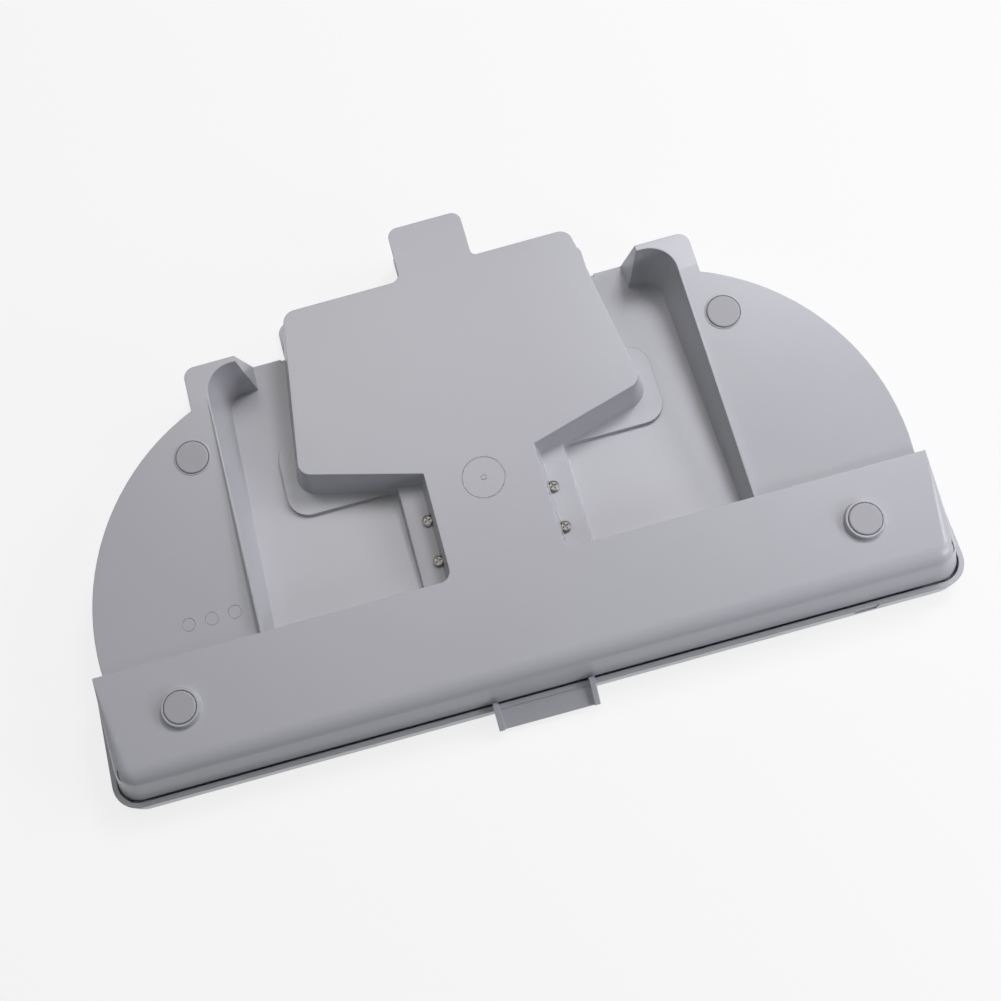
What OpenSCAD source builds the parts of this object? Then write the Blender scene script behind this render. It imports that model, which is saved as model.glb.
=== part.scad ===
// Dust collection tray, seen with its underside up: a flat pan below, a moulded bottom
// cover above it, four foot pads and four screws. X runs along the front bar to the right,
// Y from the bar to the rear tab, Z up. Sizes in millimetres.
// Heights inside the modules are measured from the flat face shared by bar, neck and island.

/* [Bar] */
// Half length of the bar at its flat face
bar_half = 216; // [180:1:260]
// Depth of the bar from its back edge to the start of the front wall
bar_depth = 57.5; // [45:0.5:75]
// Radius of the rounded front edge
bar_edge_r = 9; // [3:0.5:11]
// Radius of the two front corners in plan
bar_corner_r = 12; // [11:0.5:25]
// Lean of the outer walls, sideways per unit of height
wall_lean = 0.17; // [0.05:0.01:0.3]

/* [Wings] */
// Radius of the rounded wing outline
wing_r = 121.7; // [90:0.1:160]
// Centre of the wing outline from the middle line
wing_cx = 90.8; // [60:0.1:110]
// Centre of the wing outline behind the bar's back edge
wing_cy = 11.8; // [0:0.1:30]
// Step down from the bar to the wing
wing_step = 4.5; // [1:0.1:8]
// Distance behind the bar at which the wing meets the ear's flat top
fold_y = 128; // [100:1:140]
// Height of the ear's flat top above the bar's flat face
ear_top = 3.5; // [0:0.1:6]
// Half width over the two ears at their flat tops
ear_half = 138.3; // [120:0.1:160]
// Rear face of the ears behind the bar's back edge
ear_back = 147.8; // [130:0.1:165]
// Radius of the ears' outer rear corner
ear_r = 6; // [2:0.5:10]
// Distance from the middle line to the free end of the ear's return
ear_end = 110; // [95:1:120]
// Thickness of the thin rib beside each wall
rib_t = 1.5; // [0.8:0.1:3]

/* [Recess] */
// Half width of the recess at the bar's flat face
recess_half = 127.2; // [100:0.1:140]
// Depth of the recess floor at the bar
floor_depth = 18; // [12:0.5:22]
// Fall of the floor towards the rear, per unit of length
floor_fall = 0.075; // [0:0.005:0.09]
// Radius of the recess's rear corners
recess_r = 14; // [9:0.5:20]
// Rear wall line of the recess behind the ears' returns
recess_back = 144; // [125:0.5:150]

/* [Island] */
// Half width of the neck
neck_half = 29.4; // [20:0.1:40]
// Distance from the bar to the island at the neck
neck_len = 55.9; // [40:0.1:80]
// Half width of the island near its front corners
island_half_front = 92.6; // [70:0.1:110]
// Distance from the bar to the island's front corners
island_front_y = 73.2; // [60:0.1:100]
// Half width of the island at its rear corners
island_half_rear = 80.8; // [60:0.1:100]
// Distance from the bar to the island's rear edge, left part
island_rear_y = 165.9; // [140:0.1:180]
// How much further back the right part of the rear edge lies
island_rear_step = 3.4; // [0:0.1:6]
// Corner radius of the island
island_r = 7; // [2:0.5:12]
// Lean of the walls round island, neck and ledges
island_lean = 0.2; // [0.05:0.01:0.3]
// Width of the rear tab
tab_w = 40.6; // [20:0.1:60]
// Sideways offset of the rear tab
tab_x = 5.7; // [-15:0.1:15]
// Distance from the bar to the rear edge of the tab
tab_y = 197; // [180:0.5:215]
// Corner radius of the tab
tab_r = 5.5; // [1:0.5:10]
// Half width of the low pad round the island
pad_half = 103; // [95:0.5:115]
// Front edge of the pad behind the bar
pad_front_y = 58.7; // [50:0.1:70]
// Rear edge of the pad behind the bar
pad_rear_y = 104.5; // [80:0.5:120]
// Height of the pad above the floor
pad_h = 2.5; // [0.5:0.1:5]
// Corner radius of the pad
pad_r = 12; // [4:0.5:20]

/* [Ledges and screws] */
// Half width over both screw ledges
ledge_half = 44.5; // [38:0.5:55]
// Depth of the ledges below the bar's flat face
ledge_depth = 14; // [8:0.5:16]
// Distance of the screws from the middle line
screw_x = 33.7; // [30:0.1:40]
// Distance of the rear screws from the bar
screw_rear_y = 36.6; // [30:0.1:50]
// Distance of the front screws from the bar
screw_front_y = 14.3; // [8:0.1:25]
// Radius of the screw heads
screw_head_r = 3; // [2:0.1:4]
// Height of the screw heads
screw_head_h = 1.9; // [1:0.1:3]
// Radius of the screw shanks
screw_shank_r = 1.5; // [1:0.1:2.5]
// Length of the screw shanks under the head
screw_len = 11; // [6:0.5:14]

/* [Feet] */
// Distance of the front feet from the middle line
foot_front_x = 175; // [150:0.5:190]
// Distance of the front feet in front of the bar's back edge
foot_front_y = 26.3; // [18:0.1:35]
// Outer radius of the ring round a front foot
ring_r = 9.6; // [7:0.1:12]
// Height of that ring
ring_h = 3; // [1:0.1:4]
// Width of that ring's rim
ring_w = 1.1; // [0.6:0.1:2]
// Radius of a front foot pad
foot_front_r = 8.1; // [6:0.1:9]
// Distance of the rear feet from the middle line
foot_rear_x = 143.2; // [135:0.1:160]
// Distance of the rear feet behind the bar's back edge
foot_rear_y = 99.2; // [85:0.1:105]
// Radius of a rear foot pad
foot_rear_r = 8.5; // [6:0.1:9]
// Gap round every foot pad
foot_gap = 0.4; // [0.1:0.05:0.8]
// Depth of the seats of the foot pads
seat_depth = 1.1; // [0.5:0.1:1.5]
// How far the foot pads stand out of their seats' rims
foot_proud = 0.6; // [0.2:0.1:1.5]

/* [Pan] */
// Thickness of the moulded walls
wall_t = 2.2; // [1.5:0.1:3]
// Depth of the cover's rim below the bar's flat face, at the front wall
rim_depth = 24.5; // [20:0.5:28]
// Fall of the rim towards the rear, per unit of length
rim_fall = 0.0377; // [0:0.0001:0.04]
// Parting gap between cover and pan
part_gap = 0.8; // [0.3:0.1:1.5]
// Depth of the pan's flat outer face below the bar's flat face
pan_depth = 37; // [36:0.5:45]
// How far the pan's lip stands out in front of and beside the bar
lip_out = 3.6; // [2:0.1:6]
// Radius of the lip's front corners
lip_r = 14; // [8:0.5:20]
// Half width of the finger pull
pull_half = 26.5; // [15:0.5:40]
// How far the finger pull stands out in front of the lip
pull_out = 9.8; // [5:0.1:15]
// Thickness of the finger pull's side ribs
pull_rib = 3; // [1.5:0.1:5]
// Left end of the notch in the lip
notch_x = 163; // [120:1:180]
// Length of the notch in the lip
notch_len = 12; // [4:1:20]

/* [Hidden] */
$fn = 96;
big = 700;
eps = 0.02;
front_y = -bar_depth - wall_lean * rim_depth;
wing_slope = (ear_top + wing_step) / fold_y;
wing_tilt = atan(wing_slope);
rib_tilt = atan(ear_top / fold_y);
bar_foot = bar_half + wall_lean * rim_depth;
pan_front_y = front_y - lip_out;
pan_half = bar_foot + lip_out;
rim_front = -rim_depth + rim_fall * front_y;
pull_front_y = pan_front_y - pull_out;
mid_y = (pull_front_y + tab_y + pan_clear()) / 2;
seat_r_front = foot_front_r + foot_gap;
seat_r_rear = foot_rear_r + foot_gap;
foot_h = seat_depth + foot_proud;
wing_z_rear = -wing_step + wing_slope * foot_rear_y;
post_r = 4;
relief_r = screw_head_r + 0.7;

function pan_clear() = 0.4;
function rim_z(y) = rim_front - rim_fall * y;

// Everything above a plane that passes through z0 at the bar's back edge and rises with y
module above(z0, slope) {
  translate([0, 0, z0]) rotate([atan(slope), 0, 0]) translate([-big / 2, -big / 2, 0]) cube([big, big, 120]);
}

module below(z0, slope) {
  translate([0, 0, z0]) rotate([atan(slope), 0, 0]) translate([-big / 2, -big / 2, -120]) cube([big, big, 120]);
}

module both_sides() {
  children();
  mirror([1, 0, 0]) children();
}

// Solid running along Y with a cross section given in X and Z
module along_y(y0, y1, points) {
  translate([0, y1, 0]) rotate([90, 0, 0]) linear_extrude(y1 - y0) polygon(points);
}

// Solid running along X with a cross section given in Y and Z
module along_x(x0, x1, points) {
  translate([x0, 0, 0]) rotate([90, 0, 90]) linear_extrude(x1 - x0) polygon(points);
}

module rounded_disc(r, edge) {
  rotate_extrude() {
    translate([0, -edge]) square([r - edge, edge]);
    translate([0, -edge - 1]) square([r, 1]);
    intersection() {
      translate([r - edge, -edge]) circle(edge, $fn = 40);
      translate([0, -edge]) square([r, edge]);
    }
  }
}

module bar_outer() {
  hull() both_sides() {
    translate([bar_half - bar_corner_r, -bar_depth + bar_corner_r, 0]) rounded_disc(bar_corner_r, bar_edge_r, $fn = 40);
    translate([bar_foot - bar_corner_r, front_y + bar_corner_r, -rim_depth - 4]) cylinder(h = 4, r = bar_corner_r, $fn = 40);
    translate([bar_half - 1, -1, -0.6]) cube([1, 1, 0.6]);
    translate([bar_foot - 1, -1, -rim_depth - 4]) cube([1, 1, 4]);
  }
}

module bar_inner() {
  lean = wall_lean * rim_depth;
  intersection() {
    along_x(-bar_foot + wall_t, bar_foot - wall_t,
            [[-bar_depth + bar_edge_r, -wall_t], [-wall_t, -wall_t], [-wall_t, -60], [front_y + wall_t, -60],
             [front_y + wall_t, -rim_depth], [-bar_depth + wall_t, -bar_edge_r], [-bar_depth + wall_t + 2.6, -bar_edge_r + 4.2]]);
    along_y(-bar_depth - 20, 2,
            [[-bar_half + wall_t + 1, -wall_t], [bar_half - wall_t - 1, -wall_t], [bar_foot - wall_t, -rim_depth],
             [bar_foot - wall_t, -60], [-bar_foot + wall_t, -60], [-bar_foot + wall_t, -rim_depth]]);
    union() {
      translate([-bar_foot, -bar_depth + bar_corner_r, -60]) cube([2 * bar_foot, 80, 80]);
      translate([-bar_half + bar_corner_r, -bar_depth - 20, -60]) cube([2 * (bar_half - bar_corner_r), 80, 80]);
      both_sides() translate([bar_half - bar_corner_r, -bar_depth + bar_corner_r, -60]) cylinder(h = 80, r = bar_corner_r - 1);
    }
  }
}

// Right wing: a leaning round outline under a sloping flat top
module wing(inset) {
  intersection() {
    translate([wing_cx, wing_cy, -60])
      cylinder(h = 60 - wing_step, r1 = wing_r + wall_lean * (60 - wing_step) - inset, r2 = wing_r - inset, $fn = 240);
    below(-wing_step - inset, wing_slope);
    translate([wing_cx - 40, -2 - 2 * inset, -60]) cube([200, 200, 80]);
  }
  intersection() {
    translate([wing_cx, wing_cy, -wing_step]) cylinder(h = 12, r = wing_r - inset, $fn = 240);
    below(-wing_step - inset, wing_slope);
    translate([wing_cx - 40, -2 - 2 * inset, -60]) cube([200, 200, 80]);
  }
}

module ear_outer() {
  lean = wall_lean * (ear_top + 60);
  intersection() {
    hull() {
      translate([ear_half - ear_r, ear_back - ear_r, -60]) cylinder(h = 60 + ear_top, r1 = ear_r + lean, r2 = ear_r, $fn = 48);
      translate([ear_end - 20, 118, -60]) cube([ear_half + lean - ear_end + 20, 1, eps]);
      translate([ear_end - 20, ear_back + lean - 1, -60]) cube([1, 1, eps]);
      translate([ear_end - 20, 118, ear_top - eps]) cube([ear_half - ear_end + 20, 1, eps]);
      translate([ear_end - 20, ear_back - 1, ear_top - eps]) cube([1, 1, eps]);
    }
    below(-wing_step, wing_slope);
  }
}

module ear_inner() {
  lean = wall_lean * (ear_top + 30);
  intersection() {
    along_y(110, 160, [[ear_end - 8, ear_top - wall_t], [ear_half - wall_t, ear_top - wall_t],
                       [ear_half - wall_t + lean, -30], [ear_half - wall_t + lean, -60], [ear_end - 8, -60]]);
    along_x(90, 170, [[100, ear_top - wall_t], [ear_back - wall_t, ear_top - wall_t],
                      [ear_back - wall_t + lean, -30], [ear_back - wall_t + lean, -60], [100, -60]]);
    below(-wing_step - wall_t, wing_slope);
    translate([0, 0, -60]) linear_extrude(80) {
      square([ear_half + 20, ear_back - ear_r]);
      square([ear_half - ear_r, ear_back + 20]);
      translate([ear_half - ear_r, ear_back - ear_r]) circle(ear_r - 1.2);
    }
  }
}

// The block under the recess floor, between the wings
module middle(inset) {
  back = ear_back + wall_lean * ear_top - inset;
  along_x(-recess_half - 1, recess_half + 1,
          [[-2 - 2 * inset, -floor_depth + 4], [back, -floor_depth + 4], [back + wall_lean * 60, -60],
           [-2 - 2 * inset, -60]]);
}

module rib() {
  intersection() {
    along_y(-1, fold_y + 6, [[recess_half - 4, -10], [recess_half + rib_t + 0.5, -10],
                             [recess_half + rib_t, ear_top + 2], [recess_half - 4, ear_top + 2]]);
    below(0, ear_top / fold_y);
    translate([0, -1, -20]) cube([200, fold_y + 1, 40]);
  }
}

// Space of the recess, grown by g on every side for the inner face of its walls
module recess(g) {
  top = 12;
  low = -34;
  w_top = recess_half + wall_lean * top + g;
  w_low = recess_half + wall_lean * low + g;
  corner_y = recess_back - recess_r;
  corner_x = recess_half - recess_r;
  intersection() {
    above(-floor_depth - g, -floor_fall);
    union() {
      along_y(-g, corner_y, [[-w_low, low], [w_low, low], [w_top, top], [-w_top, top]]);
      both_sides() translate([corner_x, corner_y, low])
        cylinder(h = top - low, r1 = recess_r + wall_lean * low + g, r2 = recess_r + wall_lean * top + g);
      along_x(-corner_x, corner_x, [[corner_y - 5, low], [recess_back + wall_lean * low + g, low],
                                    [recess_back + wall_lean * top + g, top], [corner_y - 5, top]]);
      along_y(corner_y, 190, [[-ear_end + 5 - g, low], [ear_end - 5 + g, low], [ear_end + g, ear_top],
                              [ear_end + g, top], [-ear_end - g, top], [-ear_end - g, ear_top]]);
    }
  }
}

module island(inset) {
  r = island_r - inset;
  lean = island_lean * (60 - inset);
  hull() both_sides() {
    for (c = [[neck_half - 4, neck_len + island_r + 1], [island_half_front - island_r - 1.6, island_front_y + island_r],
              [island_half_rear - island_r, island_rear_y - island_r]])
      translate([c[0], c[1], -60]) cylinder(h = 60 - inset, r1 = r + lean, r2 = r, $fn = 32);
  }
  hull() for (x = [tab_x + 12, island_half_rear - island_r - 0.5], y = [island_rear_y - 20, island_rear_y + island_rear_step - island_r])
    translate([x, y, -60]) cylinder(h = 60 - inset, r1 = r + lean, r2 = r, $fn = 32);
}

module tab(inset) {
  half = tab_w / 2 - inset;
  translate([tab_x, 0, -60]) linear_extrude(60 - inset) {
    translate([-half, island_rear_y - 15]) square([2 * half, tab_y - tab_r - island_rear_y + 15]);
    translate([-half + tab_r, island_rear_y]) square([2 * (half - tab_r), tab_y - inset - island_rear_y]);
    for (s = [-1, 1]) translate([s * (tab_w / 2 - tab_r), tab_y - tab_r]) circle(tab_r - inset);
  }
}

module neck(inset) {
  lean = island_lean * 60;
  along_y(-4, neck_len + 16, [[-neck_half + inset, -inset], [neck_half - inset, -inset],
                              [neck_half + lean - inset, -60], [-neck_half - lean + inset, -60]]);
}

module ledges(inset) {
  lean = island_lean * (60 - ledge_depth);
  along_y(-4, neck_len + 16, [[-ledge_half + inset, -ledge_depth - inset], [ledge_half - inset, -ledge_depth - inset],
                              [ledge_half + lean - inset, -60], [-ledge_half - lean + inset, -60]]);
}

module pad(inset) {
  half = pad_half - inset;
  intersection() {
    below(-floor_depth + pad_h - inset, -floor_fall);
    translate([0, 0, -60]) linear_extrude(60) {
      translate([-half, pad_front_y + pad_r]) square([2 * half, pad_rear_y - pad_front_y - 2 * pad_r]);
      translate([-half + pad_r, pad_front_y + inset]) square([2 * (half - pad_r), pad_rear_y - pad_front_y - 2 * inset]);
      for (s = [-1, 1], y = [pad_front_y + pad_r, pad_rear_y - pad_r])
        translate([s * (pad_half - pad_r), y]) circle(pad_r - inset);
    }
  }
}

module raised(inset) {
  island(inset);
  tab(inset);
  neck(inset);
  ledges(inset);
  pad(inset);
}

// Quarter-round filling of an inside corner in plan
module corner_fill(r, h) {
  translate([0, 0, -h]) linear_extrude(h) difference() {
    translate([-1, -1]) square(r + 1);
    translate([r, r]) circle(r);
  }
}

module screw_spots() {
  for (s = [-1, 1], y = [screw_front_y, screw_rear_y]) translate([s * screw_x, y, 0]) children();
}

module front_seat() {
  translate([foot_front_x, -foot_front_y, 0]) children();
}

module rear_seat() {
  translate([foot_rear_x, foot_rear_y, wing_z_rear]) rotate([wing_tilt, 0, 0]) children();
}

module bottom_cover() {
  color([0.72, 0.72, 0.75]) difference() {
    union() {
      difference() {
        union() {
          bar_outer();
          both_sides() {
            wing(0);
            ear_outer();
            rib();
            front_seat() cylinder(h = ring_h, r1 = ring_r + 0.7, r2 = ring_r);
            rear_seat() translate([0, 0, -1]) cylinder(h = 1.3, r = seat_r_rear + 0.6);
          }
          middle(0);
        }
        recess(0);
      }
      raised(0);
      both_sides() translate([neck_half, 0, 0]) corner_fill(6, ledge_depth + 1);
      translate([tab_x + tab_w / 2, island_rear_y + island_rear_step, 0]) corner_fill(3, 20);
      translate([tab_x - tab_w / 2, island_rear_y, 0]) mirror([1, 0, 0]) corner_fill(5, 20);
    }
    difference() {
      union() {
        bar_inner();
        both_sides() {
          wing(wall_t);
          ear_inner();
        }
        middle(wall_t);
      }
      recess(wall_t);
    }
    raised(wall_t);
    below(rim_front, -rim_fall);
    screw_spots() {
      translate([0, 0, -ledge_depth]) cylinder(h = 4, r = relief_r, $fn = 48);
      translate([0, 0, -ledge_depth - 10]) cylinder(h = 12, r = screw_shank_r + 0.3, $fn = 32);
    }
    both_sides() {
      front_seat() translate([0, 0, ring_h - seat_depth]) cylinder(h = 5, r = seat_r_front);
      rear_seat() translate([0, 0, 0.3 - seat_depth]) cylinder(h = 5, r = seat_r_rear);
    }
  }
}

// Outline of the pan in plan, drawn in by d
module pan_plan(d) {
  half = pan_half - d;
  translate([-half + lip_r, pan_front_y + d]) square([2 * (half - lip_r), 30]);
  translate([-half, pan_front_y + lip_r]) square([2 * half, -pan_front_y - lip_r - d]);
  for (s = [-1, 1]) {
    translate([s * (pan_half - lip_r), pan_front_y + lip_r]) circle(lip_r - d);
    intersection() {
      translate([s * wing_cx, wing_cy]) circle(wing_r + wall_lean * 26 + pan_clear() - d, $fn = 240);
      translate([-big / 2, -20]) square([big, big]);
    }
  }
  back = ear_back + wall_lean * 36 + pan_clear() - d;
  side = ear_half + wall_lean * 36 + pan_clear() - d;
  translate([-side, 0]) square([2 * side, back - ear_r]);
  translate([-side + ear_r, 0]) square([2 * (side - ear_r), back]);
  for (s = [-1, 1]) translate([s * (side - ear_r), back - ear_r]) circle(ear_r);
  rear = island_rear_y + island_rear_step + island_lean * 34 + pan_clear() - d;
  wide = island_half_rear + island_lean * 34 + pan_clear() - d;
  translate([-wide, 20]) square([2 * wide, rear - 20 - island_r]);
  translate([-wide + island_r, 20]) square([2 * (wide - island_r), rear - 20]);
  for (s = [-1, 1]) translate([s * (wide - island_r), rear - island_r]) circle(island_r);
  translate([tab_x - tab_w / 2 - pan_clear() + d, 20]) square([tab_w + 2 * (pan_clear() - d), tab_y + pan_clear() - d - 20]);
}

module pull() {
  low = -pan_depth + 2;
  wall_y = pan_front_y + 1;
  inner = pull_half - pull_rib;
  plate_top = -rim_depth - 1.2;
  both_sides() along_x(inner, pull_half,
                       [[wall_y + 2, low], [wall_y + 2, plate_top - 1], [front_y - 0.5, plate_top + 0.4],
                        [front_y - 0.5, plate_top + 6], [front_y - 1.8, plate_top + 6.4],
                        [pull_front_y, low + 4], [pull_front_y, low + 1.2], [pull_front_y + 1.2, low]]);
  along_x(-inner - 1, inner + 1,
          [[wall_y + 1, plate_top - 4], [wall_y + 1, plate_top], [pan_front_y - 1.4, plate_top - 0.5],
           [pull_front_y + 0.6, low + 1.5], [pull_front_y + 0.6, low + 0.2], [pull_front_y + 2.4, low],
           [pan_front_y - 1.6, plate_top - 3.4]]);
}

module tray_pan() {
  color([0.70, 0.70, 0.73]) {
    difference() {
      union() {
        difference() {
          translate([0, 0, -pan_depth]) linear_extrude(pan_depth - rim_depth + 2) pan_plan(0);
          translate([0, 0, -pan_depth + wall_t]) linear_extrude(pan_depth) pan_plan(lip_out - 0.9);
          above(rim_front - part_gap, -rim_fall);
        }
        screw_spots() translate([0, 0, -pan_depth + 1]) cylinder(h = pan_depth - 1 - ledge_depth - wall_t, r = post_r, $fn = 48);
        pull();
      }
      screw_spots() translate([0, 0, -ledge_depth - screw_len]) cylinder(h = 30, r = screw_shank_r, $fn = 32);
      translate([notch_x, pan_front_y - 1, -pan_depth + 4]) cube([notch_len, 1.8, 30]);
    }
  }
}

module front_foot() {
  color([0.66, 0.66, 0.68]) front_seat() translate([0, 0, ring_h - seat_depth]) rounded_foot(foot_front_r);
}

module rear_foot() {
  color([0.66, 0.66, 0.68]) rear_seat() translate([0, 0, 0.3 - seat_depth]) rounded_foot(foot_rear_r);
}

module rounded_foot(r) {
  cylinder(h = foot_h - 0.3, r = r);
  translate([0, 0, foot_h - 0.3]) cylinder(h = 0.3, r1 = r, r2 = r - 0.5);
}

module screw(s, y) {
  color([0.45, 0.45, 0.46]) translate([s * screw_x, y, -ledge_depth]) {
    difference() {
      union() {
        cylinder(h = screw_head_h - 0.6, r = screw_head_r, $fn = 48);
        translate([0, 0, screw_head_h - 0.6]) cylinder(h = 0.6, r1 = screw_head_r, r2 = screw_head_r - 0.9, $fn = 48);
      }
      for (a = [0, 90]) rotate([0, 0, a + 20]) translate([-1.8, -0.4, screw_head_h - 1.1]) cube([3.6, 0.8, 2]);
    }
    translate([0, 0, -screw_len]) cylinder(h = screw_len + eps, r = screw_shank_r, $fn = 32);
  }
}

module placed() {
  translate([0, -mid_y, pan_depth]) children();
}

placed() bottom_cover();
placed() tray_pan();
placed() mirror([1, 0, 0]) front_foot();  // foot_front_left
placed() front_foot();  // foot_front_right
placed() mirror([1, 0, 0]) rear_foot();  // foot_rear_left
placed() rear_foot();  // foot_rear_right
placed() screw(-1, screw_rear_y);  // screw_left_rear
placed() screw(-1, screw_front_y);  // screw_left_front
placed() screw(1, screw_rear_y);  // screw_right_rear
placed() screw(1, screw_front_y);  // screw_right_front
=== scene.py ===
# Dust collection tray lying with its underside up: materials, edges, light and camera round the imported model
import math
import bpy
import numpy as np
from mathutils import Matrix, Vector


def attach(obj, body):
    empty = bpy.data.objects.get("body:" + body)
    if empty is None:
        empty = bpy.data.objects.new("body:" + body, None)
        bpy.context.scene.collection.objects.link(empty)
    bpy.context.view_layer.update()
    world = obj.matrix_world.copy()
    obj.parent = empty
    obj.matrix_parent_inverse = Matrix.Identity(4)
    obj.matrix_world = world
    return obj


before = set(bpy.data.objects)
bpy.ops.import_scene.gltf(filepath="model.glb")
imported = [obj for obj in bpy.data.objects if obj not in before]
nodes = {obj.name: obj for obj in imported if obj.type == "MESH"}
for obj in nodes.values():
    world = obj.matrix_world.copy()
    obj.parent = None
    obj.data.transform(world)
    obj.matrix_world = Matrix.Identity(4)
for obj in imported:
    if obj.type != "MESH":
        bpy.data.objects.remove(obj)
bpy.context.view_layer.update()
scene = bpy.context.scene
print("frame loaded:", len(nodes), "nodes")


# wraps a socket, so that shader maths reads as plain expressions
class Shade:
    def __init__(self, tree, socket=None):
        self.tree = tree
        self.socket = socket

    # adds one node: its settings first, then the values or links of its sockets
    def node(self, kind, settings=None, links=None, out=0):
        made = self.tree.nodes.new("ShaderNode" + kind)
        for name, value in (settings or {}).items():
            if name == "stops":
                ramp = made.color_ramp
                while len(ramp.elements) < len(value):
                    ramp.elements.new(0.5)
                for element, (place, colour) in zip(ramp.elements, value):
                    element.position = place
                    element.color = colour
            else:
                setattr(made, name, value)
        for name, value in (links or {}).items():
            if isinstance(value, Shade):
                self.tree.links.new(value.socket, made.inputs[name])
            else:
                made.inputs[name].default_value = value
        return Shade(self.tree, made.outputs[out])

    def maths(self, operation, *values):
        return self.node("Math", {"operation": operation}, dict(enumerate(values)))

    def __add__(self, other):
        return self.maths("ADD", self, other)

    def __radd__(self, other):
        return self.maths("ADD", other, self)

    def __sub__(self, other):
        return self.maths("SUBTRACT", self, other)

    def __rsub__(self, other):
        return self.maths("SUBTRACT", other, self)

    def __mul__(self, other):
        return self.maths("MULTIPLY", self, other)

    def __rmul__(self, other):
        return self.maths("MULTIPLY", other, self)


def newMaterial(name):
    material = bpy.data.materials.new(name)
    material.use_nodes = True
    tree = material.node_tree
    tree.nodes.clear()
    return material, Shade(tree)


def closeMaterial(shade, surface):
    end = shade.tree.nodes.new("ShaderNodeOutputMaterial")
    shade.tree.links.new(surface.socket, end.inputs["Surface"])


coverLook = {
    "colour": (0.455, 0.458, 0.478, 1),
    "cloudColour": (0.485, 0.487, 0.505, 1),
    "roughness": 0.3,
    "roughnessSpread": 0.07,
    "cloudScale": 16,
    "streakScale": 70,
    "grainScale": 1400,
    "grainHeight": 0.00002,
    "edgeRadius": 0.0007,
}


def mouldedPlastic(name, look):
    material, shade = newMaterial(name)
    place = shade.node("TexCoord", out=3)
    cloud = shade.node("TexNoise", links={"Vector": place, "Scale": look["cloudScale"], "Detail": 4.0})
    streak = shade.node("TexNoise", links={"Vector": place, "Scale": look["streakScale"], "Detail": 5.0})
    grain = shade.node("TexNoise", links={"Vector": place, "Scale": look["grainScale"], "Detail": 2.0})
    tint = cloud * 0.7 + streak * 0.3
    shades = {"Factor": tint, 6: look["colour"], 7: look["cloudColour"]}
    colour = shade.node("Mix", {"data_type": "RGBA"}, shades, out=2)
    rounded = shade.node("Bevel", {"samples": 6}, {"Radius": look["edgeRadius"]})
    bump = shade.node("Bump", links={
        "Height": grain, "Strength": 1.0, "Distance": look["grainHeight"], "Normal": rounded})
    roughness = look["roughness"] + (streak - 0.5) * look["roughnessSpread"]
    surface = shade.node("BsdfPrincipled", links={"Base Color": colour, "Roughness": roughness, "Normal": bump})
    closeMaterial(shade, surface)
    return material


def dress(object, material):
    object.data.materials.clear()
    object.data.materials.append(material)


coverPlastic = mouldedPlastic("coverPlastic", coverLook)
panPlastic = mouldedPlastic("panPlastic", {**coverLook, "colour": (0.46, 0.463, 0.49, 1)})
padLook = {**coverLook, "colour": (0.40, 0.402, 0.41, 1), "cloudColour": (0.43, 0.43, 0.44, 1), "roughness": 0.6}
padRubber = mouldedPlastic("padRubber", padLook)

screwLook = {"colour": (0.2, 0.19, 0.18, 1), "roughness": 0.3, "wearScale": 900}


def screwSteel(look):
    material, shade = newMaterial("screwSteel")
    place = shade.node("TexCoord", out=3)
    wear = shade.node("TexNoise", links={"Vector": place, "Scale": look["wearScale"], "Detail": 3.0})
    surface = shade.node("BsdfPrincipled", links={
        "Base Color": look["colour"], "Metallic": 1.0, "Roughness": look["roughness"] + wear * 0.2})
    closeMaterial(shade, surface)
    return material


steel = screwSteel(screwLook)
for name, node in nodes.items():
    if name.startswith("screw"):
        dress(node, steel)
    elif name.startswith("foot"):
        dress(node, padRubber)
    elif name == "tray_pan":
        dress(node, panPlastic)
    else:
        dress(node, coverPlastic)
print("materials set")

# faint raised circles left by the mould: one on the neck, three on the left wing
mouldMarks = {
    "ejector_ring": {"centre": (0, -0.0137, 0.037), "radius": 0.011, "slope": 0},
    "ejector_dimple": {"centre": (0, -0.0137, 0.037), "radius": 0.0013, "slope": 0},
    "wing_mark_left": {"centre": (-0.1636, -0.0465, 0.03342), "radius": 0.0033, "slope": 0.0625},
    "wing_mark_middle": {"centre": (-0.1515, -0.0466, 0.03341), "radius": 0.0033, "slope": 0.0625},
    "wing_mark_right": {"centre": (-0.1394, -0.0463, 0.03343), "radius": 0.0033, "slope": 0.0625},
}
beadWidth = 0.00035
beadHeight = 0.00014


# ring whose section is a flat ellipse: the angle u runs round the ring and v round the section
def raisedRing(name, mark, around=96, across=12):
    u, v = np.meshgrid(np.arange(around) * 2 * np.pi / around, np.arange(across) * 2 * np.pi / across, indexing="ij")
    reach = mark["radius"] + beadWidth * np.cos(v)
    x, y = reach * np.cos(u), reach * np.sin(u)
    z = mark["slope"] * y + beadHeight * np.sin(v)
    points = np.stack([x, y, z], -1).reshape(-1, 3) + np.array(mark["centre"])
    i, j = np.meshgrid(np.arange(around), np.arange(across), indexing="ij")
    nextI, nextJ = (i + 1) % around, (j + 1) % across
    faces = np.stack([i * across + j, nextI * across + j, nextI * across + nextJ, i * across + nextJ], -1)
    mesh = bpy.data.meshes.new(name)
    mesh.from_pydata(points.tolist(), [], faces.reshape(-1, 4).tolist())
    mesh.shade_smooth()
    made = bpy.data.objects.new(name, mesh)
    scene.collection.objects.link(made)
    dress(made, coverPlastic)
    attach(made, "root")


for name, mark in mouldMarks.items():
    raisedRing(name, mark)
print("mould marks made")

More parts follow.
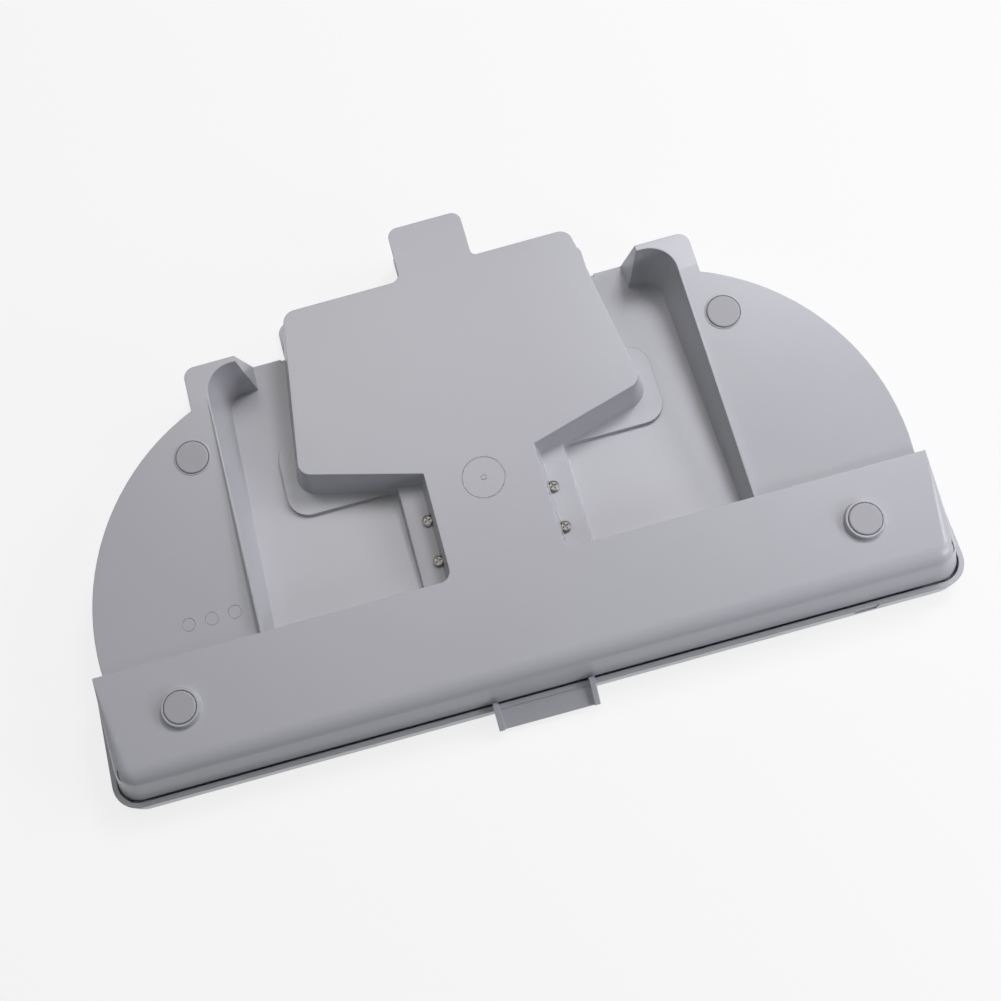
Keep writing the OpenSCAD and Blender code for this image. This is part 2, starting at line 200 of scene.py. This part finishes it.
floorLook = {"size": 6.0, "level": -0.0006, "colour": (0.85, 0.85, 0.86, 1), "glow": 0.8}
size, level = floorLook["size"], floorLook["level"]
floorMesh = bpy.data.meshes.new("floor")
floorMesh.from_pydata([(-size, -size, level), (size, -size, level), (size, size, level), (-size, size, level)],
                      [], [(0, 1, 2, 3)])
floor = bpy.data.objects.new("floor", floorMesh)
scene.collection.objects.link(floor)


def whiteForCamera(shade):
    path = shade.node("LightPath")
    rays = path.socket.node.outputs
    seen = shade.maths("MAXIMUM", Shade(shade.tree, rays["Is Camera Ray"]), Shade(shade.tree, rays["Is Glossy Ray"]))
    return shade.maths("MAXIMUM", seen, Shade(shade.tree, rays["Is Transmission Ray"]))


material, shade = newMaterial("floorPaint")
glow = shade.node("Emission", links={"Color": (1, 1, 1, 1), "Strength": 1.0})
matt = shade.node("BsdfDiffuse", links={"Color": floorLook["colour"]})
share = whiteForCamera(shade) * floorLook["glow"]
closeMaterial(shade, shade.node("MixShader", links={0: share, 1: matt, 2: glow}))
floorMesh.materials.append(material)

studio = {"ambient": 0.08, "fromLeft": 0.16, "colour": (0.93, 0.97, 1, 1)}

world = bpy.data.worlds.new("studio")
world.use_nodes = True
world.node_tree.nodes.clear()
shade = Shade(world.node_tree)
sideways = shade.node("SeparateXYZ", links={"Vector": shade.node("TexCoord")})
strength = studio["ambient"] + shade.maths("MAXIMUM", sideways * -1.0, 0.0) * studio["fromLeft"]
ambient = shade.node("Background", links={"Color": studio["colour"], "Strength": strength})
white = shade.node("Background", links={"Color": (1, 1, 1, 1), "Strength": 1.0})
seen = shade.node("MixShader", links={0: whiteForCamera(shade), 1: ambient, 2: white})
end = world.node_tree.nodes.new("ShaderNodeOutputWorld")
world.node_tree.links.new(seen.socket, end.inputs["Surface"])
scene.world = world

lamps = {
    "windowLight": {"from": (0.7, 0.7, 1.4), "size": 0.5, "power": 12.6, "colour": (0.93, 0.92, 1)},
    "rearLight": {"from": (-0.15, 0.7, 1.55), "size": 0.6, "power": 3.8, "colour": (1, 0.99, 0.96)},
    "sideLight": {"from": (1.4, 0.1, 1.0), "size": 0.5, "power": 7.0, "colour": (1, 0.95, 0.96)},
    "cornerLight": {"from": (0.75, -0.5, 0.4), "size": 0.3, "power": 2.4, "colour": (0.85, 0.9, 1)},
}


def addLamp(name, lamp):
    data = bpy.data.lights.new(name, "AREA")
    data.size = lamp["size"]
    data.energy = lamp["power"]
    data.color = lamp["colour"]
    made = bpy.data.objects.new(name, data)
    made.location = lamp["from"]
    made.rotation_mode = "QUATERNION"
    made.rotation_quaternion = (Vector((0, 0, 0)) - Vector(lamp["from"])).to_track_quat("-Z", "Y")
    scene.collection.objects.link(made)


for name, lamp in lamps.items():
    addLamp(name, lamp)
print("lights set")

# camera of the photograph: focal length and centre in pixels of its 1001 wide frame, axes in the model's frame
cameraView = {
    "focal": 1313.5,
    "centre": (453.03, 500.0),
    "from": (-0.018699, -0.210940, 0.677492),
    "right": (0.96426, -0.25419, -0.07475),
    "down": (-0.26495, -0.92449, -0.27408),
    "ahead": (0.00056, 0.28409, -0.95880),
}


def addCamera(view, width=1001):
    data = bpy.data.cameras.new("camera")
    data.sensor_width = 36
    data.lens = view["focal"] / width * 36
    data.shift_x = (width / 2 - view["centre"][0]) / width
    data.shift_y = (view["centre"][1] - width / 2) / width
    data.clip_start = 0.01
    data.clip_end = 50
    axes = Matrix((view["right"], -Vector(view["down"]), -Vector(view["ahead"]))).transposed()
    made = bpy.data.objects.new("camera", data)
    made.matrix_world = Matrix.Translation(view["from"]) @ axes.to_4x4()
    scene.collection.objects.link(made)
    return made


scene.camera = addCamera(cameraView)
scene.view_settings.view_transform = "Standard"
print("camera set")
